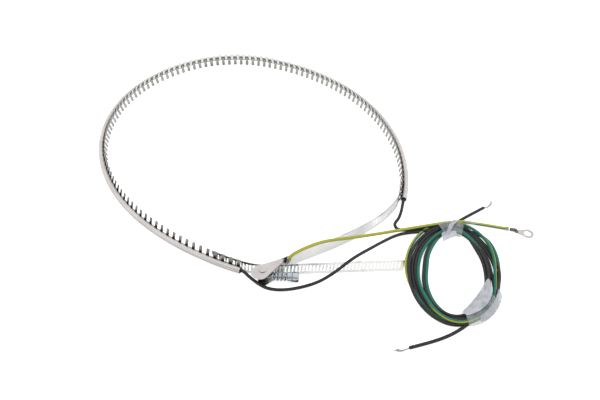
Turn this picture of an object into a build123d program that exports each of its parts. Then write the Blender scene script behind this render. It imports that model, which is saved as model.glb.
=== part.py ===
from build123d import *
from math import atan2, cos, degrees, radians, sin, tan
import os

# Crankcase heater: a comb-edged sheath bent into a hoop round its heating cable,
# closed by two slotted straps and a swivelling worm screw, with its leads in a tied hank.
# Millimetres. The hoop lies on z = 0, and its centre is the origin.

# Sheath: sheet steel round the cable, with two rows of staggered fingers
sheet = 0.5
bead_r = 2.75
mouth = 2.0
mid_z = 7.15
finger_lean = 20
finger_pitch = 7.61
finger_w = 3.2
finger_root = 1.0
finger_inset = 0.03
lip_h = 0.35
bead_sides = 10

# Hoop: start of its right end, and its tangent arcs (radius, sweep in degrees)
hoop_start = (153.6, -97.2)
hoop_heading = 75.6
hoop_arcs = [(217, 85.0), (116.56, 52.0), (143.45, 42.5), (179.26, 34.2), (222.62, 27.7), (287.23, 21.6)]

# Heating cable and the moulded seals at its ends
cable_fit = 0.05
seal_len = 14
seal_out = 0.8

# Straps: half-inch slotted worm-drive band
band_w = 12.7
band_t = 0.65
band_tuck = 5.05
slot_l = 8.0
slot_w = 1.3
slot_pitch = 3.0
slot_slant = 6
tuck_left = 30
tuck_right = 27
tail_bend = (60, 24.0)
tail_straight = 111.5
strap_bends = [(30, 19.0), (115, 19.0), (300, 10.6)]
strap_straight = 42.5
strap_slotted = 70

# Clamp bracket: two teardrop cheeks on a web welded to the strap's end
cheek_t = 0.7
side_gap = 0.1
pivot = (25.2, -192.3)
cheek_centre = (23.3, -194.4)
cheek_r = 7.5
low_cheek_r = 4.8
cheek_tip = (39.6, -182.1)
cheek_tip_r = 2.3
web_t = 0.8
web_l = 8.8
weld_gap = 0.02

# Swivel: saddle block, its trunnions and the worm screw in it
saddle_l = 8.0
saddle_w = 7.6
saddle_gap = 0.25
trunnion_r = 1.6
trunnion_head_r = 2.7
trunnion_head_h = 0.5
running = 0.05
screw_heading = -2.7
journal_r = 1.9
root_r = 2.4
thread_r = 3.6
thread_start = 5.2
thread_l = 14.5
collar_r = 4.2
collar_l = 4.0
head_af = 7.94
head_l = 5.2
screw_reach = 20.6
drive_slot = 1.2
drive_depth = 1.9
peen_r = 2.5
peen_l = 0.7

# Leads: stranded wire, its insulation and its bared ends
lead_d = 2.6
lead_sides = 8
strand_d = 1.2
bare_l = 13.0

# Ground crimp on the strap and ring terminal on the lead's far end
barrel_d = 3.9
barrel_l = 6.5
barrel_tilt = 70
barrel_grip = 2.0
crimp_fit = 0.02
tongue_l = 3.6
tongue_h = 7.0
tongue_t = 0.6
eye_r = 5.3
eye_hole_r = 3.3
eye_t = 0.8
eye_reach = 12.0
sleeve_l = 7.0
grip_l = 2.5
grip_step = 1.0

# Hank: oval bundle of the three leads' turns, and the films that tie it
hank_centre = (186.5, -182.5)
hank_tilt = -9.7
hank_a = 42.0
hank_b = 59.5
hank_w = 15.5
hank_h = 7.0
film_t = 0.2
film_slack = 0.1
top_film_at = (188.5, -134.0)
top_film_l = 15
side_film_at = (200.5, -216.0)
side_film_l = 38


def step(x, y, heading, radius, turn):
    """Point and heading after an arc; a positive turn is to the left."""
    side = 1 if turn > 0 else -1
    to_centre = radians(heading + 90 * side)
    cx = x + radius * cos(to_centre)
    cy = y + radius * sin(to_centre)
    end = radians(heading + turn - 90 * side)
    return cx + radius * cos(end), cy + radius * sin(end), heading + turn


def along(start, heading, arcs, run):
    """Point and heading at a run along tangent arcs, then straight on."""
    x, y = start
    for radius, turn in arcs:
        length = radius * radians(abs(turn))
        if run <= length:
            part = degrees(run / radius) * (1 if turn > 0 else -1)
            return step(x, y, heading, radius, part)
        x, y, heading = step(x, y, heading, radius, turn)
        run -= length
    return x + run * cos(radians(heading)), y + run * sin(radians(heading)), heading


def arc_length(arcs):
    return sum(radius * radians(abs(turn)) for radius, turn in arcs)


def aside(point, heading, offset):
    """Point moved to the left of a heading."""
    return (point[0] - offset * sin(radians(heading)), point[1] + offset * cos(radians(heading)))


hoop_len = arc_length(hoop_arcs)
hoop_end = along(hoop_start, hoop_heading, hoop_arcs, hoop_len)
flat_turn = 180 / bead_sides
cable_r = (bead_r - sheet) * cos(radians(flat_turn)) - cable_fit
band_low = mid_z - band_w / 2
leg_top = mid_z


def draw_arcs(start, heading, arcs, straight=0):
    """Tangent arcs as edges of the line being built, then a straight."""
    x, y = start
    for radius, turn in arcs:
        JernArc(start=(x, y), tangent=(cos(radians(heading)), sin(radians(heading))),
                radius=radius, arc_size=turn)
        x, y, heading = step(x, y, heading, radius, turn)
    if straight:
        end = (x + straight * cos(radians(heading)), y + straight * sin(radians(heading)))
        Line((x, y), end)


def leg_outline(side, low, high, inset=0):
    """Outline of a leaning leg in the section, between two heights; x points to the hoop's inside."""
    lean = tan(radians(finger_lean))
    thick = sheet / cos(radians(finger_lean)) - 2 * inset
    low_x = bead_r - sheet - cable_fit + (low - finger_root) * lean + inset
    high_x = low_x + (high - low) * lean
    return [(low_x, side * low), (high_x, side * high), (high_x + thick, side * high), (low_x + thick, side * low)]


def section_plane(x, y, heading):
    """Plane across the hoop; its x points to the hoop's inside."""
    inward = unit(heading + 90)
    return Plane(origin=(x, y, mid_z), x_dir=inward, z_dir=inward.cross(Vector(0, 0, 1)))


def unit(heading, rise=0):
    """Direction of a heading, raised by an angle."""
    flat = cos(radians(rise))
    return Vector(flat * cos(radians(heading)), flat * sin(radians(heading)), sin(radians(rise)))


def hoop_stations(start, heading, arcs):
    """For each arc: its section plane, its axis and its sweep."""
    x, y = start
    stations = []
    for radius, turn in arcs:
        centre = aside((x, y), heading, radius)
        stations.append((section_plane(x, y, heading), Axis((*centre, 0), (0, 0, 1)), turn))
        x, y, heading = step(x, y, heading, radius, turn)
    return stations


def trace_strap(start, heading, arcs, straight):
    """Strap's outline seen from above."""
    with BuildLine() as line:
        draw_arcs(start, heading, arcs, straight)
    trace(line.edges(), line_width=band_t)


def slots(start, heading, arcs, first, last):
    """Places of a strap's slanted slots between two runs."""
    places = []
    run = first
    while run <= last:
        x, y, turn = along(start, heading, arcs, run)
        places.append(Location((x, y, mid_z), (0, slot_slant, turn)))
        run += slot_pitch
    return places


def corner_radii(points):
    """Radius at each inner point of a route, from its shorter run and its turn."""
    radii = []
    for a, b, c in zip(points, points[1:], points[2:]):
        before, after = Vector(b) - Vector(a), Vector(c) - Vector(b)
        half = radians(before.get_angle(after)) / 2
        radii.append(0.45 * min(before.length, after.length) / tan(half))
    return radii


def route_line(points):
    """Straight runs joined by tangent arcs."""
    radii = corner_radii(points)
    print("radii", [round(r, 1) for r in radii])
    return FilletPolyline(*points, radius=radii)


# Sheath
with BuildPart() as sheath:
    lip_top = finger_root + lip_h
    for section, axis, turn in hoop_stations(hoop_start, hoop_heading, hoop_arcs):
        with BuildSketch(section):
            RegularPolygon(bead_r, bead_sides, rotation=flat_turn)
            RegularPolygon(bead_r - sheet, bead_sides, rotation=flat_turn, mode=Mode.SUBTRACT)
            with Locations((bead_r, 0)):
                Rectangle(bead_r, mouth, mode=Mode.SUBTRACT)
            for side in (1, -1):
                Polygon(*leg_outline(side, finger_root, lip_top), align=None)
        revolve(axis=axis, revolution_arc=turn)
    for side in (1, -1):
        fingers = []
        run = finger_w / 2 + (0 if side > 0 else finger_pitch / 2)
        while run < hoop_len - finger_w / 2:
            fingers.append(section_plane(*along(hoop_start, hoop_heading, hoop_arcs, run)))
            run += finger_pitch
        with BuildSketch(*fingers):
            Polygon(*leg_outline(side, finger_root + lip_h / 2, leg_top, finger_inset), align=None)
        extrude(amount=finger_w / 2, both=True)
sheath.part.label = "sheath"

# Heating cable
with BuildPart() as heating_cable:
    inset = along(hoop_start, hoop_heading, hoop_arcs, seal_len)
    trimmed = list(hoop_arcs)
    for end in (0, -1):
        radius, turn = trimmed[end]
        trimmed[end] = (radius, turn - degrees(seal_len / radius))
    for section, axis, turn in hoop_stations(inset[:2], inset[2], trimmed):
        with BuildSketch(section):
            RegularPolygon(cable_r, lead_sides)
        revolve(axis=axis, revolution_arc=turn)
heating_cable.part.label = "heating_cable"


def end_seal(start, heading, radius, outward):
    """Moulded seal in one end of the sheath, standing out of it a little."""
    plug = [(radius, degrees(seal_len / radius))]
    with BuildPart() as seal:
        section, axis, turn = hoop_stations(start, heading, plug)[0]
        with BuildSketch(section):
            RegularPolygon(cable_r, lead_sides)
        revolve(axis=axis, revolution_arc=turn)
        face = Plane(origin=outward[0], x_dir=(0, 0, 1), z_dir=outward[1])
        with BuildSketch(face):
            RegularPolygon(cable_r, lead_sides)
        extrude(amount=seal_out)
    return seal.part


right_out = unit(hoop_heading + 180)
left_out = unit(hoop_end[2])
right_mouth = Vector(*hoop_start, mid_z)
left_mouth = Vector(hoop_end[0], hoop_end[1], mid_z)
seal_right = end_seal(hoop_start, hoop_heading, hoop_arcs[0][0], (right_mouth, right_out))
seal_right.label = "seal_right"
inner = along(hoop_start, hoop_heading, hoop_arcs, hoop_len - seal_len)
seal_left = end_seal(inner[:2], inner[2], hoop_arcs[-1][0], (left_mouth, left_out))
seal_left.label = "seal_left"

# Slotted strap with the tail: tucked into the sheath's left end, then through the clamp
with BuildPart() as tail_strap:
    tuck = along(hoop_start, hoop_heading, hoop_arcs, hoop_len - tuck_left)
    tail_start = aside(tuck[:2], tuck[2], band_tuck)
    tail_r = hoop_arcs[-1][0] - band_tuck
    tail_arcs = [(tail_r, degrees(tuck_left / hoop_arcs[-1][0])), tail_bend]
    tail_len = arc_length(tail_arcs) + tail_straight
    with BuildSketch(Plane.XY.offset(band_low)):
        trace_strap(tail_start, tuck[2], tail_arcs, tail_straight)
    extrude(amount=band_w)
    with Locations(*slots(tail_start, tuck[2], tail_arcs, slot_pitch, tail_len - slot_pitch)):
        Box(slot_w, 4 * band_t, slot_l, mode=Mode.SUBTRACT)
tail_strap.part.label = "tail_strap"

# Grounded strap: tucked into the sheath's right end, welded to the clamp's web
with BuildPart() as ground_strap:
    strap_tuck = along(hoop_start, hoop_heading, hoop_arcs, tuck_right)
    strap_start = aside(strap_tuck[:2], strap_tuck[2], band_tuck)
    strap_r = hoop_arcs[0][0] - band_tuck
    strap_heading = strap_tuck[2] + 180
    strap_arcs = [(strap_r, -degrees(tuck_right / hoop_arcs[0][0]))]
    strap_arcs += [(radius, -turn) for radius, turn in strap_bends]
    strap_len = arc_length(strap_arcs) + strap_straight
    with BuildSketch(Plane.XY.offset(band_low)):
        trace_strap(strap_start, strap_heading, strap_arcs, strap_straight)
    extrude(amount=band_w)
    with Locations(*slots(strap_start, strap_heading, strap_arcs, slot_pitch, strap_slotted)):
        Box(slot_w, 4 * band_t, slot_l, mode=Mode.SUBTRACT)
ground_strap.part.label = "ground_strap"
strap_end = along(strap_start, strap_heading, strap_arcs, strap_len)
weld_heading = strap_end[2]

# Clamp bracket
with BuildPart() as clamp_bracket:
    low_cheek = band_low - side_gap - cheek_t
    high_cheek = band_low + band_w + side_gap
    cheeks = [(low_cheek, pivot, low_cheek_r), (high_cheek, cheek_centre, cheek_r)]
    for level, round_end, round_r in cheeks:
        with BuildSketch(Plane.XY.offset(level)):
            with Locations(round_end):
                Circle(round_r)
            with Locations(cheek_tip):
                Circle(cheek_tip_r)
            make_hull()
            with Locations(pivot):
                Circle(trunnion_r + running, mode=Mode.SUBTRACT)
        extrude(amount=cheek_t)
    web_offset = band_t / 2 + weld_gap + web_t / 2
    web_from = aside(strap_end[:2], weld_heading, web_offset)
    web_to = Vector(*web_from) - unit(weld_heading) * web_l
    with BuildSketch(Plane.XY.offset(low_cheek)):
        with BuildLine() as web_line:
            Line(web_from, (web_to.X, web_to.Y))
        trace(web_line.edges(), line_width=web_t)
    extrude(amount=high_cheek + cheek_t - low_cheek)
clamp_bracket.part.label = "clamp_bracket"

# Saddle
saddle_low = low_cheek + cheek_t + saddle_gap
saddle_high = high_cheek - saddle_gap
screw_dir = unit(screw_heading)
with BuildPart() as saddle:
    with BuildSketch(Plane(origin=(*pivot, saddle_low), x_dir=screw_dir, z_dir=(0, 0, 1))):
        RectangleRounded(saddle_l, saddle_w, 2)
    extrude(amount=saddle_high - saddle_low)
    with BuildSketch(Plane(origin=(*pivot, low_cheek), z_dir=(0, 0, 1))):
        Circle(trunnion_r)
    extrude(amount=high_cheek + cheek_t + running - low_cheek)
    with BuildSketch(Plane(origin=(*pivot, high_cheek + cheek_t + running), z_dir=(0, 0, 1))):
        Circle(trunnion_head_r)
    extrude(amount=trunnion_head_h, taper=30)
    with BuildSketch(Plane(origin=(*pivot, mid_z), x_dir=(0, 0, 1), z_dir=screw_dir)):
        Circle(journal_r + running)
    extrude(amount=saddle_l, both=True, mode=Mode.SUBTRACT)
saddle.part.label = "saddle"

# Worm screw along its own axis, from the pivot
screw_plane = Plane(origin=(*pivot, mid_z), x_dir=(0, 0, 1), z_dir=screw_dir)


with BuildPart() as worm_screw:
    journal_l = saddle_l / 2 + running
    bars = [
        (-journal_l - peen_l, peen_l, peen_r),
        (-journal_l, 2 * journal_l, journal_r),
        (journal_l, screw_reach - journal_l, root_r),
        (thread_start, thread_l, thread_r),
        (screw_reach, collar_l, collar_r),
    ]
    for bar_start, bar_l, bar_r in bars:
        with BuildSketch(screw_plane.offset(bar_start)):
            Circle(bar_r)
        extrude(amount=bar_l)
    with BuildSketch(screw_plane.offset(screw_reach + collar_l)):
        RegularPolygon(head_af / 2, 6, major_radius=False)
    extrude(amount=head_l)
    with BuildSketch(screw_plane.offset(screw_reach + collar_l + head_l)):
        Rectangle(drive_slot, 2 * head_af)
    extrude(amount=-drive_depth, mode=Mode.SUBTRACT)
worm_screw.part.label = "worm_screw"

# Ground crimp: a barrel on a tongue welded to the strap
strap_up = weld_heading + 180
barrel_off = band_t / 2 + weld_gap + tongue_t + barrel_d / 2
tongue_at = Vector(*strap_end[:2]) + unit(strap_up) * (web_l + side_gap + tongue_l / 2)
tongue_mid = aside((tongue_at.X, tongue_at.Y), strap_up, -(band_t / 2 + weld_gap + tongue_t / 2))
barrel_mid = aside((tongue_at.X, tongue_at.Y), strap_up, -barrel_off)
barrel_dir = unit(strap_up, barrel_tilt)
barrel_foot = Vector(*barrel_mid, mid_z)
barrel_plane = Plane(origin=barrel_foot, z_dir=barrel_dir)
with BuildPart() as ground_crimp:
    with BuildSketch(Plane(origin=(*tongue_mid, mid_z), x_dir=unit(strap_up), z_dir=unit(strap_up + 90))):
        RectangleRounded(tongue_l, tongue_h, tongue_t)
    extrude(amount=tongue_t / 2 + weld_gap / 2, both=True)
    with BuildSketch(barrel_plane):
        Circle(barrel_d / 2)
        Circle(lead_d / 2 + crimp_fit, mode=Mode.SUBTRACT)
    extrude(amount=barrel_l)
ground_crimp.part.label = "ground_crimp"

# Routes of the free wires, chosen by hand
seal_face_left = left_mouth + left_out * seal_out
seal_face_right = right_mouth + right_out * seal_out
crimp_face = barrel_foot + barrel_dir * (barrel_l - barrel_grip)
lead_a_route = [
    tuple(seal_face_left), tuple(seal_face_left + left_out * 4.5), (16.6, -194.2, 4.8),
    (24.8, -199.8, 2.5), (33.5, -201.8, 1.5), (43.0, -202.3, 1.32), (52.5, -201.0, 1.35),
    (62.5, -198.4, 1.9), (73.0, -195.4, 4.0),
    (84.5, -192.3, 9.5), (93.2, -190.0, 15.3), (100.0, -186.4, 17.9), (107.5, -180.8, 17.9),
    (117.5, -171.0, 14.2), (130.0, -157.2, 8.2), (142.5, -145.4, 3.8), (152.5, -139.0, 1.9),
    (162.0, -136.2, 1.6), (171.0, -135.2, 1.6), (179.5, -134.8, 1.6),
]
lead_b_route = [
    tuple(seal_face_right), tuple(seal_face_right + right_out * 5), (150.0, -111.6, 5.2), (146.8, -119.2, 2.9),
    (143.4, -122.8, 1.8), (142.5, -126.1, 1.4), (143.4, -129.4, 1.3), (145.8, -131.8, 1.3),
    (149.3, -132.7, 1.4), (157.3, -132.1, 1.5), (167.0, -131.2, 1.6), (176.0, -131.2, 1.6),
]
ground_route = [
    tuple(crimp_face), tuple(crimp_face + barrel_dir * 5.2), (54.0, -175.4, 18.6), (64.0, -171.0, 18.8),
    (75.0, -166.2, 16.9), (86.5, -160.6, 12.5), (98.5, -154.8, 8.6), (112.0, -148.4, 6.2),
    (127.5, -142.3, 5.2), (143.0, -137.2, 5.1), (156.5, -133.9, 5.2), (167.5, -132.5, 5.2),
    (177.5, -131.9, 5.1),
]
lead_a_end_route = [
    (192.0, -129.6, 1.7), (202.8, -120.4, 1.4), (215.8, -111.2, 1.3), (228.9, -102.5, 1.3),
]
lead_b_end_route = [
    (202.5, -220.0, 1.7), (195.5, -229.6, 1.5), (185.6, -239.2, 1.3), (172.4, -248.0, 1.3),
    (156.0, -254.6, 1.3), (139.2, -259.4, 1.3),
]
ground_end_route = [
    (193.5, -127.5, 5.2), (203.0, -123.9, 3.8), (214.0, -124.2, 2.2), (227.5, -127.2, 2.0),
    (240.5, -130.9, 2.0),
]


def tube(points, name):
    """Wire along a route, with flats inside its round insulation."""
    with BuildPart() as wire:
        with BuildLine() as route:
            route_line(points)
        with BuildSketch(Plane(origin=route.line @ 0, z_dir=route.line % 0)) as section:
            RegularPolygon(lead_d / 2, lead_sides)
        sweep(path=route.line)
    wire.part.label = name
    length = sum(edge.length for edge in route.edges())
    print(name, "length", round(length, 1), "volume ratio",
          round(wire.part.volume / (length * section.sketch.area), 4))
    return wire.part


def strands(points, name, length=bare_l):
    """Bared conductor past the end of a wire."""
    with BuildPart() as core:
        ahead = (Vector(points[-1]) - Vector(points[-2])).normalized()
        with BuildSketch(Plane(origin=points[-1], z_dir=ahead)):
            Circle(strand_d / 2)
        extrude(amount=length)
    core.part.label = name
    return core.part


wires = [
    tube(lead_a_route, "lead_a"),
    tube(lead_b_route, "lead_b"),
    tube(ground_route, "ground_lead"),
    tube(lead_a_end_route, "lead_a_end"),
    tube(lead_b_end_route, "lead_b_end"),
    tube(ground_end_route, "ground_end"),
    strands(lead_a_end_route, "strands_a"),
    strands(lead_b_end_route, "strands_b"),
]


def oval(grow):
    """Oval ring seen from above, grown on every side."""
    with Locations(Location((*hank_centre, 0), (0, 0, hank_tilt))):
        Ellipse(hank_a + grow, hank_b + grow)
        Ellipse(hank_a - hank_w - grow, hank_b - hank_w - grow, mode=Mode.SUBTRACT)


# Hank
hank_low = film_t + film_slack
with BuildPart() as lead_hank:
    with BuildSketch(Plane.XY.offset(hank_low)):
        oval(0)
    extrude(amount=hank_h)
lead_hank.part.label = "lead_hank"


def film(middle, length, name):
    """Film wrapped round one stretch of the hank."""
    reach = 2 * hank_w
    angle = degrees(atan2(middle[1] - hank_centre[1], middle[0] - hank_centre[0]))
    with BuildPart() as wrap:
        with BuildSketch(Plane.XY):
            oval(film_slack + film_t)
        extrude(amount=hank_low + hank_h + film_slack + film_t)
        with BuildSketch(Plane.XY.offset(film_t)):
            oval(film_slack)
        extrude(amount=hank_h + 2 * film_slack, mode=Mode.SUBTRACT)
        with BuildSketch(Plane(origin=(*middle, 0), x_dir=unit(angle), z_dir=(0, 0, 1))):
            Rectangle(reach, length)
        extrude(amount=2 * hank_h, mode=Mode.INTERSECT)
    wrap.part.label = name
    return wrap.part


films = [film(top_film_at, top_film_l, "film_top"), film(side_film_at, side_film_l, "film_side")]

# Ring terminal: grip, barrel and flat eye
terminal_dir = (Vector(ground_end_route[-1]) - Vector(ground_end_route[-2])).normalized()
terminal_heading = degrees(atan2(terminal_dir.Y, terminal_dir.X))
flat_dir = unit(terminal_heading)
wire_end = Vector(ground_end_route[-1])
barrel_start = wire_end - flat_dir * grip_l
eye_centre = wire_end + flat_dir * (sleeve_l + eye_reach)
with BuildPart() as ring_terminal:
    with BuildSketch(Plane(origin=(eye_centre.X, eye_centre.Y, 0), x_dir=flat_dir, z_dir=(0, 0, 1))):
        Circle(eye_r)
        with Locations((-eye_reach, 0)):
            Circle(lead_d / 2)
        make_hull()
        Circle(eye_hole_r, mode=Mode.SUBTRACT)
    extrude(amount=eye_t)
    with BuildSketch(Plane(origin=barrel_start, z_dir=flat_dir)):
        Circle(wire_end.Z)
        Circle(lead_d / 2 + crimp_fit, mode=Mode.SUBTRACT)
    extrude(amount=grip_l + grip_step)
    with BuildSketch(Plane(origin=wire_end + flat_dir * grip_step, z_dir=flat_dir)):
        Circle(wire_end.Z)
        Circle(strand_d / 2 + crimp_fit, mode=Mode.SUBTRACT)
    extrude(amount=sleeve_l - grip_step / 2)
ring_terminal.part.label = "ring_terminal"
ground_core = strands(ground_end_route, "ground_core", sleeve_l + grip_step)

print("hoop length", hoop_len, "end", hoop_end, "fingers in a row", len(fingers), "strap end", strap_end)
print("eye", eye_centre, "crimp", crimp_face, "web", web_from, web_to)
pieces = [sheath.part, heating_cable.part, seal_left, seal_right, tail_strap.part]
pieces += [ground_strap.part, clamp_bracket.part, saddle.part, worm_screw.part, ground_crimp.part]
pieces += wires + [lead_hank.part] + films + [ring_terminal.part, ground_core]
os.makedirs("parts", exist_ok=True)
for piece in pieces:
    export_step(piece, f"parts/{piece.label}.step")
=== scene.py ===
from math import cos, pi, radians, sin, tan

import bmesh
import bpy
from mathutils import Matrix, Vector, noise


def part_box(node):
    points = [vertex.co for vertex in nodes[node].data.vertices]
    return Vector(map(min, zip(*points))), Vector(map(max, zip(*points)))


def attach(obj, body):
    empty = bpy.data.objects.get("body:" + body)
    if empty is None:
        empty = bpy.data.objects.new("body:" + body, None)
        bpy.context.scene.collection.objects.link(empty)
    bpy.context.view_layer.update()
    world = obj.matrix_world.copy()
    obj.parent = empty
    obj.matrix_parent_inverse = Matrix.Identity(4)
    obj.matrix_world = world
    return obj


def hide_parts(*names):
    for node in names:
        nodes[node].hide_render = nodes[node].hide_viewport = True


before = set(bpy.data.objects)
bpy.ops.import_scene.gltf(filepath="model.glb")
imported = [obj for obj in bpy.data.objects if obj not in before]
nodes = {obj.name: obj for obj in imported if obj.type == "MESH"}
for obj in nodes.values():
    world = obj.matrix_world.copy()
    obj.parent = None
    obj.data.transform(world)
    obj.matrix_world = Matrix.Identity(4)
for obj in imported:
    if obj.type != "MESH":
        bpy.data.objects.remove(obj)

# Crankcase heater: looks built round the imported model. Places are in millimetres, in the model's frame.
MM = 0.001
UP = Vector((0, 0, 1))
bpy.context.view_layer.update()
scene = bpy.context.scene

# Camera: its place in metres, how steeply it looks down in degrees, sensor and lens in millimetres
CAMERA_PLACE = (0.056, -0.5455, 0.410)
CAMERA_ELEVATION = 42
SENSOR = 36
LENS = 38.4

camera_data = bpy.data.cameras.new("camera")
camera_data.sensor_width = SENSOR
camera_data.lens = LENS
camera = bpy.data.objects.new("camera", camera_data)
camera.location = CAMERA_PLACE
camera.rotation_euler = (radians(90 - CAMERA_ELEVATION), 0, 0)
scene.collection.objects.link(camera)
scene.camera = camera

# Materials: noise scales are per metre, and reaches and bump distances are in metres
EVEN = (1, 1, 1)
ROLLED = (1, 1, 3)
PATCHES = 60.0
SKIN = 2500.0
WIDE_REACH = 0.01
GREEN = (0.010, 0.185, 0.125)
YELLOW = (0.50, 0.48, 0.045)


def material(name, slot_inputs):
    """A new material, its shader and its node tree."""
    made = bpy.data.materials.new(name)
    made.use_nodes = True
    shader = made.node_tree.nodes["Principled BSDF"]
    for key, value in slot_inputs.items():
        shader.inputs[key].default_value = value
    return made, shader, made.node_tree


def add(tree, kind, **settings):
    """A new node with its settings."""
    made = tree.nodes.new(kind)
    for key, value in settings.items():
        setattr(made, key, value)
    return made


def texture(tree, scale, detail, stretch=EVEN):
    """Noise over the object's own coordinates."""
    source = add(tree, "ShaderNodeTexCoord")
    mapping = add(tree, "ShaderNodeMapping")
    mapping.inputs["Scale"].default_value = [scale * s for s in stretch]
    made = add(tree, "ShaderNodeTexNoise")
    made.inputs["Scale"].default_value = 1.0
    made.inputs["Detail"].default_value = detail
    tree.links.new(source.outputs["Object"], mapping.inputs["Vector"])
    tree.links.new(mapping.outputs["Vector"], made.inputs["Vector"])
    return made.outputs["Fac"]


def ramp(tree, source, first, last):
    """Colours between two stops of (position, colour)."""
    made = add(tree, "ShaderNodeValToRGB")
    for element, (position, colour) in zip(made.color_ramp.elements, (first, last)):
        element.position = position
        element.color = (*colour, 1)
    tree.links.new(source, made.inputs["Fac"])
    return made.outputs["Color"]


def span(tree, source, low, high, start=0.3, end=0.7):
    """The source's range from start to end, mapped to low..high."""
    made = add(tree, "ShaderNodeMapRange")
    made.inputs["From Min"].default_value = start
    made.inputs["From Max"].default_value = end
    made.inputs["To Min"].default_value = low
    made.inputs["To Max"].default_value = high
    tree.links.new(source, made.inputs["Value"])
    return made.outputs["Result"]


def maths(tree, operation, *values):
    """A Math node; each value is an output to link or a number."""
    made = add(tree, "ShaderNodeMath", operation=operation)
    for socket, value in zip(made.inputs, values):
        if isinstance(value, (int, float)):
            socket.default_value = value
        else:
            tree.links.new(value, socket)
    return made.outputs[0]


def blended(tree, factor, first, second):
    """Two colours mixed by a factor."""
    made = add(tree, "ShaderNodeMix", data_type="RGBA")
    tree.links.new(factor, made.inputs["Factor"])
    tree.links.new(first, made.inputs[6])
    tree.links.new(second, made.inputs[7])
    return made.outputs[2]


def bump(tree, shader, source, strength, distance):
    """The source as a relief on the shader."""
    made = add(tree, "ShaderNodeBump")
    made.inputs["Strength"].default_value = strength
    made.inputs["Distance"].default_value = distance
    tree.links.new(source, made.inputs["Height"])
    tree.links.new(made.outputs["Normal"], shader.inputs["Normal"])


def painted_crevice_shade(tree, reach):
    """Ambient occlusion: 1 in the open and towards 0 in corners, gaps and near other surfaces, used for
    painted shade.
    """
    made = add(tree, "ShaderNodeAmbientOcclusion")
    made.samples = 8
    made.inputs["Distance"].default_value = reach
    return made.outputs["AO"]


def sheared_edges(tree, colour, streaks, edge):
    """The colour, with the sheet's upright cut edges in a duller one."""
    geometry = add(tree, "ShaderNodeNewGeometry")
    split = add(tree, "ShaderNodeSeparateXYZ")
    tree.links.new(geometry.outputs["True Normal"], split.inputs[0])
    flat = span(tree, maths(tree, "ABSOLUTE", split.outputs["Z"]), 0, 1, 0.8, 0.95)
    sheared = ramp(tree, streaks, (0.3, edge), (0.7, [e * 1.2 for e in edge]))
    return blended(tree, flat, colour, sheared)


def metal(name, dark, light, rough, crevice_shade_colour, reach, scale, grain=EVEN, edge=None):
    """Plated or rolled sheet with fine grain, soft patches, and painted shade that darkens it in corners, in
    gaps and near other surfaces.
    """
    made, shader, tree = material(name, {"Metallic": 1.0})
    streaks = texture(tree, scale, 6.0, grain)
    patches = span(tree, texture(tree, PATCHES, 3.0), 0.15, 0.35)
    colour = ramp(tree, maths(tree, "MULTIPLY_ADD", streaks, 0.5, patches), (0.3, dark), (0.65, light))
    crevice_shaded = ramp(tree, streaks, (0.3, crevice_shade_colour), (0.7, [g * 1.25 for g in crevice_shade_colour]))
    unshaded_level = 1.0 if reach > WIDE_REACH else 0.8
    # Painted shade: the colour turns to the dark corner tone where ambient occlusion finds corners, gaps and
    # nearby surfaces
    colour = blended(tree, span(tree, painted_crevice_shade(tree, reach), 0, 1, 0.25, unshaded_level), crevice_shaded, colour)
    if edge:
        colour = sheared_edges(tree, colour, streaks, edge)
    tree.links.new(colour, shader.inputs["Base Color"])
    tree.links.new(span(tree, streaks, rough - 0.05, rough + 0.07), shader.inputs["Roughness"])
    bump(tree, shader, streaks, 0.12, 0.00004)
    return made


def plastic(name, dark, light, rough):
    """Moulded or drawn plastic, a little mottled, with a fine skin."""
    made, shader, tree = material(name, {"Specular IOR Level": 0.35})
    mottled = texture(tree, 350.0, 5.0)
    tree.links.new(ramp(tree, mottled, (0.35, dark), (0.65, light)), shader.inputs["Base Color"])
    tree.links.new(span(tree, mottled, rough - 0.05, rough + 0.1), shader.inputs["Roughness"])
    bump(tree, shader, texture(tree, SKIN, 2.0), 0.15, 0.00003)
    return made


def striped():
    """Green insulation with a yellow stripe along the side that the attribute tells."""
    made, shader, tree = material("green_yellow", {"Specular IOR Level": 0.4})
    around_wire = add(tree, "ShaderNodeAttribute", attribute_name="side", attribute_type="GEOMETRY")
    mottled = texture(tree, 400.0, 3.0)
    wobble = maths(tree, "MULTIPLY_ADD", mottled, 0.06, around_wire.outputs["Fac"])
    tree.links.new(ramp(tree, wobble, (0.64, GREEN), (0.67, YELLOW)), shader.inputs["Base Color"])
    tree.links.new(span(tree, mottled, 0.3, 0.42), shader.inputs["Roughness"])
    bump(tree, shader, texture(tree, SKIN, 2.0), 0.1, 0.00003)
    return made


def clear_film(name, thin, thick):
    """Crumpled clear film, milkier where it creases."""
    made, shader, tree = material(name, {"IOR": 1.35, "Specular IOR Level": 0.45})
    wrinkles = texture(tree, 170.0, 7.0, (1, 1, 0.4))
    colour = ramp(tree, wrinkles, (0.3, (0.60, 0.63, 0.69)), (0.7, (0.80, 0.82, 0.85)))
    tree.links.new(colour, shader.inputs["Base Color"])
    tree.links.new(span(tree, wrinkles, thin, thick), shader.inputs["Alpha"])
    tree.links.new(span(tree, wrinkles, 0.15, 0.35), shader.inputs["Roughness"])
    bump(tree, shader, wrinkles, 0.6, 0.0005)
    return made
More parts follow.
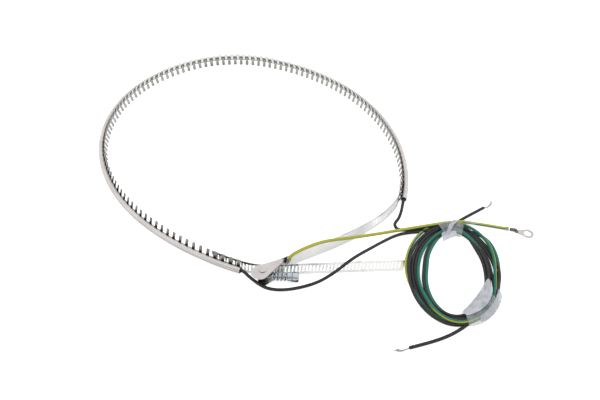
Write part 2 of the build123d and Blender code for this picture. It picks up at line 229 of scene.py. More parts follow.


# Lit and shaded copies of the sheath steel: the fingers' outsides are dark as a painted reflection of dark
# studio cards, the upper fingers' insides are light as painted light, and the lower fingers' stems and the
# bead's throat are dark as painted shade and a painted reflection of those cards. Every metal's fifth colour
# is the painted shade in its corners and gaps; the sheath steel's wide reach also paints shade on the bead's
# underside near the floor.
sheath_mat = metal("sheath_metal", (0.62, 0.59, 0.57), (0.80, 0.76, 0.74), 0.26, (0.15, 0.13, 0.12),
                   reach=0.03, scale=700, grain=ROLLED)
outer_reflection_mat = metal("finger_outside_painted_reflection", (0.21, 0.21, 0.20), (0.35, 0.35, 0.33), 0.3, (0.02, 0.02, 0.018),
                  reach=0.004, scale=700, grain=ROLLED)
inner_light_mat = metal("finger_inside_painted_light", (0.80, 0.79, 0.77), (0.93, 0.92, 0.91), 0.22, (0.45, 0.44, 0.42),
                  reach=0.003, scale=700, grain=ROLLED)
stem_shade_mat = metal("finger_stem_painted_shade", (0.36, 0.37, 0.34), (0.50, 0.51, 0.48), 0.3, (0.16, 0.16, 0.15),
                 reach=0.003, scale=700, grain=ROLLED)
throat_shade_mat = metal("bead_throat_painted_shade", (0.15, 0.14, 0.125), (0.26, 0.24, 0.22), 0.3, (0.05, 0.045, 0.04),
                   reach=0.003, scale=700, grain=ROLLED)
# The saddle's near-black steel is painted shade: the clamp's steel darkened as if lying in the bracket's
# shadow
saddle_shade_mat = metal("saddle_steel_painted_shade", (0.03, 0.03, 0.028), (0.12, 0.12, 0.115), 0.3, (0.015, 0.015, 0.012),
                   reach=0.004, scale=600)
strap_mat = metal("strap_metal", (0.80, 0.80, 0.79), (0.92, 0.92, 0.91), 0.12, (0.56, 0.56, 0.55),
                  reach=0.0015, scale=800, grain=(0.2, 0.2, 3), edge=(0.62, 0.62, 0.62))
bracket_mat = metal("bracket_metal", (0.60, 0.555, 0.55), (0.72, 0.68, 0.67), 0.34, (0.06, 0.055, 0.05),
                    reach=0.003, scale=500)
zinc_mat = metal("zinc_plate", (0.42, 0.46, 0.50), (0.72, 0.78, 0.85), 0.2, (0.03, 0.035, 0.035),
                 reach=0.004, scale=700)
tin_mat = metal("tin_plate", (0.50, 0.48, 0.46), (0.72, 0.69, 0.66), 0.33, (0.10, 0.08, 0.07),
                reach=0.003, scale=900)
# The barrel's dark tin is painted shade: the eye's tin darkened
barrel_shade_mat = metal("barrel_tin_painted_shade", (0.10, 0.085, 0.08), (0.30, 0.26, 0.24), 0.35, (0.04, 0.03, 0.03),
                   reach=0.003, scale=900)
strand_mat = metal("strand_tin", (0.42, 0.38, 0.34), (0.80, 0.77, 0.73), 0.3, (0.16, 0.12, 0.09),
                   reach=0.001, scale=1500)
black_mat = plastic("black_insulation", (0.018, 0.018, 0.019), (0.034, 0.034, 0.036), 0.42)
seal_mat = plastic("seal_rubber", (0.012, 0.012, 0.012), (0.03, 0.03, 0.03), 0.6)
cable_mat = plastic("cable_silicone", (0.05, 0.03, 0.03), (0.09, 0.06, 0.05), 0.55)
stripe_mat = striped()
wrap_film = clear_film("wrap_film", 0.12, 0.26)
flap_film = clear_film("flap_film", 0.55, 0.80)

# Routes of the free wires: a point lower than the wire's radius is lifted to it
WIRE = 2.8
SEAL_LEFT = Vector((6.80, -186.49, 7.15))
OUT_LEFT = Vector((0.931, -0.365, 0))
SEAL_RIGHT = Vector((153.40, -97.97, 7.15))
OUT_RIGHT = Vector((-0.2487, -0.9686, 0))
CRIMP = Vector((46.361, -178.739, 11.379))
CRIMP_OUT = Vector((0.3047, 0.1553, 0.9397))

route_a = [
    tuple(SEAL_LEFT), tuple(SEAL_LEFT + OUT_LEFT * 2.5), (13.8, -191.8, 5.0),
    (24.8, -199.8, 2.2), (33.5, -202.3, 1.4), (43.0, -202.6, 1.4), (52.5, -201.0, 1.4),
    (62.5, -198.4, 1.9), (73.0, -195.4, 4.0),
    (84.5, -191.0, 9.5), (93.2, -187.0, 15.3), (100.0, -182.6, 17.9), (107.5, -176.8, 17.9),
    (117.5, -166.6, 14.2), (130.0, -152.6, 8.2), (142.5, -141.2, 3.8), (152.5, -136.6, 1.9),
    (162.0, -135.4, 1.9), (170.5, -134.9, 2.9),
]
route_b = [
    tuple(SEAL_RIGHT), tuple(SEAL_RIGHT + OUT_RIGHT * 5), (150.0, -111.6, 5.2), (146.8, -119.2, 2.9),
    (143.4, -122.8, 1.8), (142.5, -126.1, 1.4), (143.4, -129.4, 1.3), (145.8, -131.8, 1.3),
    (149.3, -132.7, 1.4), (157.3, -132.1, 1.5), (166.0, -131.4, 1.9),
]
route_g = [
    tuple(CRIMP), tuple(CRIMP + CRIMP_OUT * 5.2), (54.0, -175.4, 18.6), (64.0, -169.8, 19.4),
    (75.0, -163.4, 18.0), (86.5, -157.2, 14.4), (98.5, -151.8, 10.6), (112.0, -146.2, 7.6),
    (127.5, -141.2, 5.8), (143.0, -137.0, 5.3), (156.5, -133.9, 5.3), (167.5, -131.5, 5.4),
]
end_a = [(200.0, -122.6, 1.5), (206.5, -117.6, 1.4), (215.8, -111.2, 1.3), (228.9, -102.5, 1.3)]
end_b = [
    (203.4, -221.8, 1.6), (195.5, -230.6, 1.5), (185.6, -239.4, 1.3), (172.4, -248.0, 1.3),
    (156.0, -254.6, 1.3), (139.2, -259.4, 1.3),
]
end_g = [(202.0, -122.9, 3.6), (214.0, -124.2, 2.2), (229.5, -127.5, 2.0), (245.3, -131.6, 2.0)]

# The hank's turns: inset from its outer oval and height, at eighths of a turn clockwise from the top
HANK = Vector((186.5, -182.5))
HANK_A, HANK_B, HANK_TILT = 42.0, 59.5, radians(-9.7)
EIGHTH = 45.0
SIXTEENTH = 22.5
turns_a = [
    (6.0, 4.2), (15.6, 1.6), (15.2, 1.6), (13.0, 2.8), (8.3, 4.2), (12.3, 1.9), (16.8, 1.6), (14.8, 1.6),
    (11.8, 4.2), (13.0, 1.6), (12.9, 3.9), (10.4, 1.6), (6.8, 1.6), (8.6, 1.6), (8.9, 1.6), (9.6, 1.6),
]
turns_b = [
    (3.4, 4.2), (7.6, 1.6), (6.0, 1.6), (5.9, 1.6), (1.4, 1.8), (1.8, 3.0), (3.3, 3.9), (4.0, 1.6),
    (5.3, 6.6), (5.0, 1.6), (3.6, 4.2), (7.3, 4.2), (5.7, 4.2), (5.6, 1.6), (6.1, 1.6), (6.8, 1.6),
    (6.3, 4.2), (10.2, 1.6), (10.4, 1.8), (0.6, 1.7),
]
turns_g = [
    (2.6, 6.7), (2.0, 4.4), (8.2, 4.4), (4.6, 4.5), (3.0, 4.4), (9.3, 4.4), (11.7, 1.7), (12.2, 1.6),
    (11.4, 6.6), (12.2, 1.6), (12.6, 1.3), (11.3, 1.6), (9.5, 1.6), (15.0, 1.6), (19.4, 1.6), (17.2, 1.6),
    (8.6, 1.6), (-2.2, 1.6), (4.2, 1.6), (3.2, 1.6), (4.6, 1.6), (5.0, 1.4), (0.8, 1.6), (0.2, 2.2),
]


def eased(share):
    """A share from 0 to 1 that starts and ends softly."""
    return share * share * (3 - 2 * share)


def hank_point(turn, inset, height):
    """Point of the hank at a turn clockwise from its top, in degrees."""
    angle = radians(90 - turn)
    x = (HANK_A - inset) * cos(angle)
    y = (HANK_B - inset) * sin(angle)
    return (HANK.x + x * cos(HANK_TILT) - y * sin(HANK_TILT),
            HANK.y + x * sin(HANK_TILT) + y * cos(HANK_TILT), height)


def wound(stations, count):
    """So many points of the turns, a sixteenth of a turn apart."""
    points = []
    for k in range(count):
        turn = k * SIXTEENTH
        left = min(int(turn / EIGHTH), len(stations) - 1)
        right = min(left + 1, len(stations) - 1)
        share = eased(turn / EIGHTH - left)
        inset = stations[left][0] * (1 - share) + stations[right][0] * share
        height = stations[left][1] * (1 - share) + stations[right][1] * share
        points.append(hank_point(turn, inset, height))
    return points


def spline(name, points, radius):
    """A smooth round wire through the route, in metres."""
    curve = bpy.data.curves.new(name, "CURVE")
    curve.dimensions = "3D"
    curve.resolution_u = 8
    curve.bevel_depth = radius * MM
    curve.bevel_resolution = 5
    curve.use_fill_caps = True
    line = curve.splines.new("NURBS")
    line.points.add(len(points) - 1)
    for target, (x, y, z) in zip(line.points, points):
        target.co = (x * MM, y * MM, max(z, WIRE / 2) * MM, 1)
    line.order_u = 3
    line.use_endpoint_u = True
    made = bpy.data.objects.new(name, curve)
    scene.collection.objects.link(made)
    return made


def line_of(points):
    """Points of the smooth line that a route makes, with no thickness."""
    bare = spline("bare_line", points, 0)
    bpy.context.view_layer.update()
    mesh = bpy.data.meshes.new_from_object(bare)
    found = [v.co.copy() for v in mesh.vertices]
    bpy.data.objects.remove(bare)
    bpy.data.meshes.remove(mesh)
    return found


def run_length(points):
    """Length of a line of points."""
    return sum((b - a).length for a, b in zip(points, points[1:]))


def finished(mesh, name, mats):
    """A bmesh made an object of the scene."""
    bmesh.ops.recalc_face_normals(mesh, faces=mesh.faces)
    data = bpy.data.meshes.new(name)
    mesh.to_mesh(data)
    mesh.free()
    for mat in mats:
        data.materials.append(mat)
    for polygon in data.polygons:
        polygon.use_smooth = True
    made = bpy.data.objects.new(name, data)
    scene.collection.objects.link(made)
    return made


def around(first, second, angle):
    """Direction at an angle from the first one towards the second."""
    return first * cos(angle) + second * sin(angle)


def joined(mesh, one, two, closed=True):
    """Quads between two rows of vertices."""
    faces = []
    for k in range(len(one) if closed else len(one) - 1):
        after = (k + 1) % len(one)
        faces.append(mesh.faces.new((one[k], one[after], two[after], two[k])))
    return faces


def add_tube(mesh, line, radius, sides, turn_of=None):
    """Round tube along a line of points in metres, marked with the side of the wire that a point is on."""
    layer = mesh.verts.layers.float.get("side") or mesh.verts.layers.float.new("side")
    rings = []
    normal = UP
    run = 0.0
    for i, point in enumerate(line):
        ahead = (line[min(i + 1, len(line) - 1)] - line[max(i - 1, 0)]).normalized()
        if i:
            run += (point - line[i - 1]).length / MM
        normal = (normal - ahead * normal.dot(ahead)).normalized()
        other = ahead.cross(normal)
        facing = turn_of(run) if turn_of else 0.0
        ring = []
        for k in range(sides):
            angle = 2 * pi * k / sides
            spot = mesh.verts.new(point + around(normal, other, angle) * radius * MM)
            spot[layer] = 0.5 + 0.5 * cos(angle - facing)
            ring.append(spot)
        rings.append(ring)
    for one, two in zip(rings, rings[1:]):
        joined(mesh, one, two)
    mesh.faces.new(list(reversed(rings[0])))
    mesh.faces.new(rings[-1])


wire_a = route_a + wound(turns_a, 32) + end_a
wire_b = route_b + wound(turns_b, 38) + end_b
wire_g = route_g + wound(turns_g, 48) + end_g
black_a = spline("wire_a", wire_a, WIRE / 2)
black_b = spline("wire_b", wire_b, WIRE / 2)
for piece in (black_a, black_b):
    piece.data.materials.append(black_mat)

# Where the yellow stripe faces along the ground wire: (run, radians from the top towards the camera's side)
FREE_RUN = 145
TURN_RUN = 282
stripe_stations = [(0, 0.75), (90, 0.6), (140, -0.05), (190, -1.5)]
stripe_stations += [(FREE_RUN + TURN_RUN * turn, facing) for turn, facing in (
    (0.5, -1.9), (0.63, -2.0), (0.72, -3.1), (0.97, -3.1), (1.12, -3.3), (1.3, -3.1),
    (1.5, -2.0), (1.66, -3.0), (1.9, -3.1), (2.1, -3.1), (2.25, -2.9), (2.31, -2.3),
    (2.45, -2.7), (2.6, -1.7), (2.7, -1.05), (2.85, -1.0), (3.0, -0.3), (3.2, -0.2),
)]


def stripe_turn(run):
    """Where the stripe faces at a run along the wire."""
    for (start, one), (end, two) in zip(stripe_stations, stripe_stations[1:]):
        if run <= end:
            share = eased(max(0.0, (run - start) / (end - start)))
            return one + (two - one) * share
    return stripe_stations[-1][1]


ground_line = line_of(wire_g)
ground_mesh = bmesh.new()
add_tube(ground_mesh, ground_line, WIRE / 2, 24, stripe_turn)
ground = finished(ground_mesh, "wire_ground", [stripe_mat])

# Bared ends
STRANDS = 7
STRAND_R = 0.24
STRAND_LOWEST = 0.25
STRAND_STEPS = 16
BARED = 12.6
TWIST = 3.2


def strand_bundle(name, route_end, curl, phase):
    """Six bright strands twisted round a middle one, that curl off and fan out a little at their tips."""
    start = Vector(route_end[-1])
    ahead = (start - Vector(route_end[-2])).normalized()
    side = ahead.cross(UP).normalized()
    up = side.cross(ahead)
    mesh = bmesh.new()
    for k in range(STRANDS):
        first = 2 * pi * k / (STRANDS - 1) + phase
        reach = 0.0 if k == STRANDS - 1 else 0.42
        length = BARED * (1 - 0.07 * ((k * 5) % 3))
        points = []
        for j in range(STRAND_STEPS):
            t = j / (STRAND_STEPS - 1)
            fan = reach * (1 + 1.3 * t * t * (1 + 0.5 * sin(3 * k + phase)))
            spot = start + ahead * (length * t) + around(side, up, first + TWIST * t) * fan
            spot += side * (curl[0] * sin(pi * t) + curl[1] * t ** 3) + up * (curl[2] * t * t)
            spot.z = max(spot.z, STRAND_LOWEST)
            points.append(spot * MM)
        add_tube(mesh, points, STRAND_R, 8)
    return finished(mesh, name, [strand_mat])


bare_a = strand_bundle("bare_a", end_a, (1.6, -2.2, 0.8), 0.3)
bare_b = strand_bundle("bare_b", end_b, (-0.9, 1.3, 0.5), 2.1)

for piece, exit_at, points, ends in (
    (black_a, SEAL_LEFT, wire_a, [bare_a]),
    (black_b, SEAL_RIGHT, wire_b, [bare_b]),
):
    length = run_length(line_of(points))
    print(piece.name, "length", round(length, 4))


def add_rings(mesh, rings):
    """A closed tube through rings of points in millimetres; a ring's first and last points join."""
    made = [[mesh.verts.new(Vector(p) * MM) for p in ring] for ring in rings]
    faces = []
    for one, two in zip(made, made[1:]):
        faces += joined(mesh, one, two)
    faces.append(mesh.faces.new(list(reversed(made[0]))))
    faces.append(mesh.faces.new(made[-1]))
    return faces


def turned(mesh, origin, axis, profile, sides):
    """Revolved profile of (place along the axis, radius) round an axis."""
    side = axis.orthogonal().normalized()
    other = axis.cross(side)
    rings = []
    for place, radius in profile:
        centre = origin + axis * place
        rings.append([centre + around(side, other, 2 * pi * k / sides) * radius for k in range(sides)])
    add_rings(mesh, rings)


# Worm screw: places along it start at the swivel's axis
PIVOT = Vector((25.2, -192.3, 7.15))
SCREW_HEADING = radians(-2.7)
SCREW = Vector((cos(SCREW_HEADING), sin(SCREW_HEADING), 0))
SCREW_SIDE = SCREW.cross(UP)
SCREW_SIDES = 48
JOURNAL = [
    (-4.75, 0.6), (-4.7, 1.9), (-4.45, 2.4), (-4.05, 2.5), (-4.05, 1.9), (4.05, 1.9), (4.05, 2.4), (5.0, 2.4),
]
COLLAR = [
    (20.3, 2.4), (20.3, 3.4), (20.6, 3.75), (23.2, 3.85), (23.35, 4.45), (23.6, 4.6), (24.0, 4.6),
    (24.2, 4.4), (24.25, 3.4), (24.6, 3.4),
]
ROOT_R, CREST_R, THREAD_PITCH = 2.35, 3.75, 3.15
THREAD_START, THREAD_END, THREAD_STEPS = 4.6, 20.4, 126
THREAD_FADE = 1.6
HEX_FLATS, HEX_START, HEX_END = 7.94, 24.4, 29.8
HEX_FIT = 0.985
SLOT_W, SLOT_DEPTH = 1.2, 1.9


def screw_point(place, angle, radius):
    """Point round the screw's axis."""
    return PIVOT + SCREW * place + around(UP, SCREW_SIDE, angle) * radius


def thread(mesh):
    """Rounded worm thread that runs out at both ends."""
    rings = []
    for j in range(THREAD_STEPS + 1):
        place = THREAD_START + (THREAD_END - THREAD_START) * j / THREAD_STEPS
        fade = min(1.0, (place - THREAD_START) / THREAD_FADE, (THREAD_END - place) / THREAD_FADE)
        ring = []
        for k in range(SCREW_SIDES):
            phase = (place / THREAD_PITCH - k / SCREW_SIDES) % 1.0
            rise = eased(min(1.0, max(0.0, (0.36 - abs(phase - 0.5)) / 0.2)))
            radius = ROOT_R + (CREST_R - ROOT_R) * rise * max(0.0, fade)
            ring.append(screw_point(place, 2 * pi * k / SCREW_SIDES, radius))
        rings.append(ring)
    add_rings(mesh, rings)


def hex_head(mesh):
    """Chamfered hexagon with slightly broken corners."""
    corner = HEX_FLATS / 2 / cos(pi / 6) * HEX_FIT
    rings = []
    for place, shrink in ((HEX_START, 0.9), (HEX_START + 0.3, 0.98), (HEX_START + 0.8, 1.0),
                          (HEX_END - 0.9, 1.0), (HEX_END - 0.35, 0.96), (HEX_END, 0.86)):
        ring = []
        for k in range(6):
            for turn in (-2.5, 2.5):
                ring.append(screw_point(place, radians(60 * k + turn), corner * shrink))
        rings.append(ring)
    add_rings(mesh, rings)


def cut_slot(piece):
    """Driver slot cut across the head."""
    mesh = bmesh.new()
    rings = []
    for place in (HEX_END - SLOT_DEPTH, HEX_END + 1.0):
        centre = PIVOT + SCREW * place
        rings.append([centre + UP * (a * SLOT_W / 2) + SCREW_SIDE * (b * 6.0)
                      for a, b in ((-1, -1), (1, -1), (1, 1), (-1, 1))])
    add_rings(mesh, rings)
    cutter = finished(mesh, "slot_cutter", [zinc_mat])
    cut = piece.modifiers.new("slot", "BOOLEAN")
    cut.object = cutter
    cut.operation = "DIFFERENCE"
    cut.use_self = True
    cut.solver = "EXACT"
    bpy.context.view_layer.update()
    applied = bpy.data.meshes.new_from_object(piece.evaluated_get(bpy.context.evaluated_depsgraph_get()))
    piece.modifiers.clear()
    piece.data = applied
    bpy.data.objects.remove(cutter)


def worm_screw():
    """Peened journal, worm thread, collar with its flange, and a slotted hex head."""
    mesh = bmesh.new()
    turned(mesh, PIVOT, SCREW, JOURNAL, SCREW_SIDES)
    thread(mesh)
    turned(mesh, PIVOT, SCREW, COLLAR, SCREW_SIDES)
    hex_head(mesh)
    piece = finished(mesh, "worm_screw_detail", [zinc_mat])
    cut_slot(piece)
    piece.data.set_sharp_from_angle(angle=radians(32))
    return piece


# Rivet: (height over the saddle's top, radius)
RIVET = [
    (-0.52, 3.0), (-0.2, 3.0), (0.1, 2.8), (0.35, 2.3), (0.48, 1.7), (0.44, 1.25), (0.25, 0.85), (0.09, 0.5),
    (0.05, 0.1),
]


def rivet():
    """Upset head on the trunnion: a low dome with a struck dimple."""
    mesh = bmesh.new()
    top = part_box("saddle")[1][2] / MM
    turned(mesh, Vector((PIVOT.x, PIVOT.y, top)), UP, RIVET, 40)
    return finished(mesh, "rivet_head", [bracket_mat])


# Sheath: a round bead bent from sheet, with a bent lip and two staggered rows of fingers
SHEET, BEAD_R, MID_Z = 0.5, 2.75, 7.15
HALF_MOUTH, LEAN, PITCH, FINGER_W = 1.0, radians(20), 7.61, 3.2
FOOT_IN, FOOT_BELOW, CHAMFER = 2.2, 0.8, 0.1
LIP = [(2.62, 1.55), (2.45, 1.15)]
MOUTH_ANGLE = 27
BEAD_SIDES = 22
HOOP_START, HOOP_HEADING = (153.6, -97.2), 75.6
HOOP_ARCS = [(217, 85.0), (116.56, 52.0), (143.45, 42.5), (179.26, 34.2), (222.62, 27.7), (287.23, 21.6)]
HOOP_RUN = sum(radius * radians(turn) for radius, turn in HOOP_ARCS)
HOOP_STEPS = 340
# Material slots of the sheath: 1 the fingers' painted reflection, 2 painted light on the upper fingers'
# insides, 3 and 4 painted shade on the lower fingers' insides and on the bead's throat
OUTSIDE, INSIDE, STEM, THROAT = 1, 2, 3, 4
THROAT_FACES = 5


def along(run):
    """Point and inward direction at a run along the hoop."""
    x, y = HOOP_START
    heading = radians(HOOP_HEADING)
    for radius, turn in HOOP_ARCS:
        part = min(run, radius * radians(turn)) / radius
        cx, cy = x - radius * sin(heading), y + radius * cos(heading)
        heading += part
        x, y = cx + radius * sin(heading), cy - radius * cos(heading)
        run -= radius * radians(turn)
        if run <= 0:
            break
    return Vector((x, y, MID_Z)), Vector((-sin(heading), cos(heading), 0))


def sheet_section():
    """Middle line of the bent sheet, from the upper lip round the bead to the lower lip: (inward, up)."""
    middle = BEAD_R - SHEET / 2
    bend = []
    for k in range(BEAD_SIDES + 1):
        angle = radians(MOUTH_ANGLE + (360 - 2 * MOUTH_ANGLE) * k / BEAD_SIDES)
        bend.append((middle * cos(angle), middle * sin(angle)))
    return LIP + bend + [(a, -b) for a, b in reversed(LIP)]


def thickened(line, thick):
    """Outline of a strip of even thickness about an open line of (a, b) points."""
    left, right = [], []
    for i, (a, b) in enumerate(line):
        before, after = line[max(i - 1, 0)], line[min(i + 1, len(line) - 1)]
        run = Vector((after[0] - before[0], after[1] - before[1])).normalized()
        left.append((a - run.y * thick / 2, b + run.x * thick / 2))
        right.append((a + run.y * thick / 2, b - run.x * thick / 2))
    return left + right[::-1]


def bead(mesh):
    """The bent sheet swept round the hoop, with painted shade on its throat behind its lips."""
    outline = thickened(sheet_section(), SHEET)
    rings = []
    for j in range(HOOP_STEPS + 1):
        centre, inward = along(HOOP_RUN * j / HOOP_STEPS)
        rings.append([centre + inward * a + UP * b for a, b in outline])
    size = len(outline)
    for i, face in enumerate(add_rings(mesh, rings)):
        place = i % size
        # Painted shade: the faces next to both lips take the throat's dark copy of the steel
        if i < HOOP_STEPS * size and (place < THROAT_FACES or place >= size - THROAT_FACES):
            face.material_index = THROAT


def finger_outline(half):
    """A finger's section with broken corners: (inward, along the hoop)."""
    flat = SHEET / 2
    return [
        (-flat, -half + CHAMFER), (-flat, half - CHAMFER), (-flat + CHAMFER, half), (flat - CHAMFER, half),
        (flat, half - CHAMFER), (flat, -half + CHAMFER), (flat - CHAMFER, -half), (-flat + CHAMFER, -half),
    ]


def fingers(mesh):
    """Fingers whose feet close the bead's mouth; the upper row leans up and in, the lower one down and in."""
    foot_x = FOOT_IN + SHEET / 2
    shape = ((-FOOT_BELOW, 1.0), (HALF_MOUTH, 1.0), (MID_Z - 0.4, 1.0), (MID_Z - 0.12, 0.97), (MID_Z, 0.88))
    for side in (1, -1):
        run = FINGER_W / 2 + (0 if side > 0 else PITCH / 2)
        while run < HOOP_RUN - FINGER_W / 2:
            centre, inward = along(run)
            ahead = inward.cross(UP)
            rings = []
            for height, width in shape:
                x = foot_x + max(0.0, height - HALF_MOUTH) * tan(LEAN)
                rings.append([centre + inward * (x + a) + ahead * b + UP * (side * height)
                              for a, b in finger_outline(FINGER_W / 2 * width)])
            size = len(rings[0])
            for i, face in enumerate(add_rings(mesh, rings)):
                # Painted light: the upper fingers' inner faces take the light copy, the lower fingers' inner
                # faces the shaded stem copy, and all other finger faces the dark painted reflection
                inner_face = i < (len(shape) - 1) * size and i % size == 4
                face.material_index = (INSIDE if side > 0 else STEM) if inner_face else OUTSIDE
            run += PITCH


def sheath():
    """Bead and fingers as one piece of sheet."""
    mesh = bmesh.new()
    bead(mesh)
    fingers(mesh)
    made = finished(mesh, "sheath_detail", [sheath_mat, outer_reflection_mat, inner_light_mat, stem_shade_mat, throat_shade_mat])
    made.data.set_sharp_from_angle(angle=radians(38))
    return made


# Ring terminal in line with the ground wire's end; its barrel is (place along it, radius)
TERMINAL_AT = Vector(end_g[-1])
TERMINAL_AHEAD = TERMINAL_AT - Vector(end_g[-2])
TERMINAL_AHEAD.z = 0
TERMINAL_AHEAD.normalize()
TERMINAL_SIDE = UP.cross(TERMINAL_AHEAD)
EYE_REACH, EYE_R, EYE_HOLE, EYE_THICK = 17.0, 5.3, 3.3, 0.8
EYE_OVER_FLOOR, EYE_EDGE = 0.06, 0.1
EYE_SIDES = 72
SHOULDER, SHOULDER_W = 1.5, 5.08
NECK_RUN, NECK_W = 9.6, 1.5
BARREL = [
    (1.0, 1.1), (1.1, 1.45), (1.4, 1.6), (3.2, 1.6), (3.5, 1.45), (3.8, 1.45), (4.2, 1.6), (6.6, 1.6),
    (7.2, 1.5), (8.4, 1.15),
]
BARREL_BEND = 6.6
BARREL_SIDES = 36
SEAM_AT, SEAM_DEPTH = 9, 0.22
EAR_SECTION = [(-0.5, -0.22), (0.5, -0.22), (0.6, 0), (0.5, 0.22), (-0.5, 0.22), (-0.6, 0)]
EAR_STEPS = 28


def eye_outline():
    """The eye's outer edge, drawn in to a neck on the wire's side: (ahead, sideways)."""
    outline = []
    for k in range(EYE_SIDES):
        a, b = EYE_R * cos(2 * pi * k / EYE_SIDES), EYE_R * sin(2 * pi * k / EYE_SIDES)
        if a < -SHOULDER:
            share = min(1.0, (-SHOULDER - a) / (EYE_R - SHOULDER))
            a = -SHOULDER - share * NECK_RUN
            b = (1 if b >= 0 else -1) * (NECK_W + (SHOULDER_W - NECK_W) * (1 - share) ** 1.35)
        outline.append((a, b))
    return outline


def flat_eye(mesh):
    """Flat stamped eye with softened edges."""
    middle = TERMINAL_AT + TERMINAL_AHEAD * EYE_REACH
    middle.z = 0
    outer = eye_outline()
    inner = [(EYE_HOLE * cos(2 * pi * k / EYE_SIDES), EYE_HOLE * sin(2 * pi * k / EYE_SIDES))
             for k in range(EYE_SIDES)]
    loops = []
    for points, height, grow in (
        (inner, EYE_OVER_FLOOR, 0), (inner, EYE_THICK - EYE_EDGE, 0), (inner, EYE_THICK, EYE_EDGE),
        (outer, EYE_THICK, -EYE_EDGE), (outer, EYE_THICK - EYE_EDGE, 0), (outer, EYE_OVER_FLOOR, 0),
    ):
        loop = []
        for a, b in points:
            stretch = 1 + grow / max(0.5, (a * a + b * b) ** 0.5)
            spot = middle + TERMINAL_AHEAD * (a * stretch) + TERMINAL_SIDE * (b * stretch) + UP * height
            loop.append(mesh.verts.new(spot * MM))
        loops.append(loop)
    for one, two in zip(loops, loops[1:] + loops[:1]):
        joined(mesh, one, two)


def barrel(mesh):
    """Necked barrel with a seam on top, flattened and dropped towards the eye."""
    rings = []
    for place, radius in BARREL:
        past = max(0.0, place - BARREL_BEND)
        drop = past * 0.55
        squash = 1 - past * 0.28
        ring = []
        for k in range(BARREL_SIDES):
            angle = 2 * pi * k / BARREL_SIDES
            near = radius - (SEAM_DEPTH if k == SEAM_AT else 0.0)
            ring.append(TERMINAL_AT + TERMINAL_AHEAD * place + TERMINAL_SIDE * (near * cos(angle))
                        + UP * (near * squash * sin(angle) - drop))
        rings.append(ring)
    add_rings(mesh, rings)


def ears(mesh):
    """Two ears bent round the insulation, their tips a little off it."""
    for place in (-2.5, -1.0):
        rings = []
        for k in range(EAR_STEPS + 1):
            lift = 0.18 if k in (0, EAR_STEPS) else 0.0
            out = around(TERMINAL_SIDE, UP, radians(-235 + 290 * k / EAR_STEPS))
            centre = TERMINAL_AT + out * (1.5 + lift)
            rings.append([centre + TERMINAL_AHEAD * (place + a) + out * b for a, b in EAR_SECTION])
        add_rings(mesh, rings)


def ring_terminal():
    """Flat eye, barrel and ears; the barrel's tin is darker, painted shade."""
    mesh = bmesh.new()
    flat_eye(mesh)
    first = len(mesh.faces)
    barrel(mesh)
    last = len(mesh.faces)
    ears(mesh)
    mesh.faces.ensure_lookup_table()
    for i, face in enumerate(mesh.faces):
        face.material_index = 1 if first <= i < last else 0
    made = finished(mesh, "ring_terminal_detail", [tin_mat, barrel_shade_mat])
    made.data.set_sharp_from_angle(angle=radians(45))
    return made


# Films round the hank: points are (turn, inset, height); wraps are (turn, inner edge, outer edge, top)
FILM_THICK = 0.05
FILM_LOWEST = 0.12
WRAP_SHAPE = [
    (0.0, 0.18), (-0.02, 0.5), (0.1, 0.86), (0.32, 1.0), (0.6, 1.0), (0.86, 0.88), (1.0, 0.55), (1.0, 0.16),
    (0.7, 0.04), (0.3, 0.04),
]
TOP_WRAP = [
    (-23.5, 17.0, 1.0, 7.6), (-15, 17.4, 0.4, 8.6), (-6, 17.6, 0.2, 9.0), (4, 17.2, 0.4, 8.8),
    (13.0, 16.8, 1.2, 7.8),
]
SIDE_WRAP = [
    (121, 17.0, 0.0, 7.4), (129, 18.4, -1.2, 8.2), (138, 19.0, -1.6, 8.4), (147, 18.6, -1.6, 8.2),
    (156, 17.0, -1.0, 7.8), (165.5, 14.6, 0.4, 7.4),
]


def film(name, rows, mat, closed, crease, seed):
    """Thin film through rows of points, smoothed, creased and given a thickness."""
    mesh = bmesh.new()
    made = [[mesh.verts.new(Vector(hank_point(*point)) * MM) for point in row] for row in rows]
    for one, two in zip(made, made[1:]):
        joined(mesh, one, two, closed)
    cage = finished(mesh, name + "_cage", [mat])
    smoother = cage.modifiers.new("smooth", "SUBSURF")
    smoother.levels = 4
    smoother.render_levels = 4
    bpy.context.view_layer.update()
    data = bpy.data.meshes.new_from_object(cage.evaluated_get(bpy.context.evaluated_depsgraph_get()))
    bpy.data.objects.remove(cage)
    for vertex in data.vertices:
        spot = vertex.co / MM
        folds = 0.0
        for size, share in ((9.0, 1.0), (4.5, 0.4)):
            value = noise.noise(Vector((spot.x / size + seed, spot.y / (1.7 * size), spot.z / (2.5 * size))))
            folds += share * (0.5 - abs(value) * 2)
        vertex.co.z = max(vertex.co.z + folds * crease * MM, FILM_LOWEST * MM)
    for polygon in data.polygons:
        polygon.use_smooth = True
    data.name = name
    piece = bpy.data.objects.new(name, data)
    scene.collection.objects.link(piece)
    thick = piece.modifiers.new("thickness", "SOLIDIFY")
    thick.thickness = FILM_THICK * MM
    thick.offset = 0
    return piece


def wrap_row(turn, slant, inner, outer, top):
    """Closed row round the bundle: over its top from the inner edge to the outer one, and back beneath."""
    return [(turn + slant * (5 - k), inner + (outer - inner) * across, up * top)
            for k, (across, up) in enumerate(WRAP_SHAPE)]


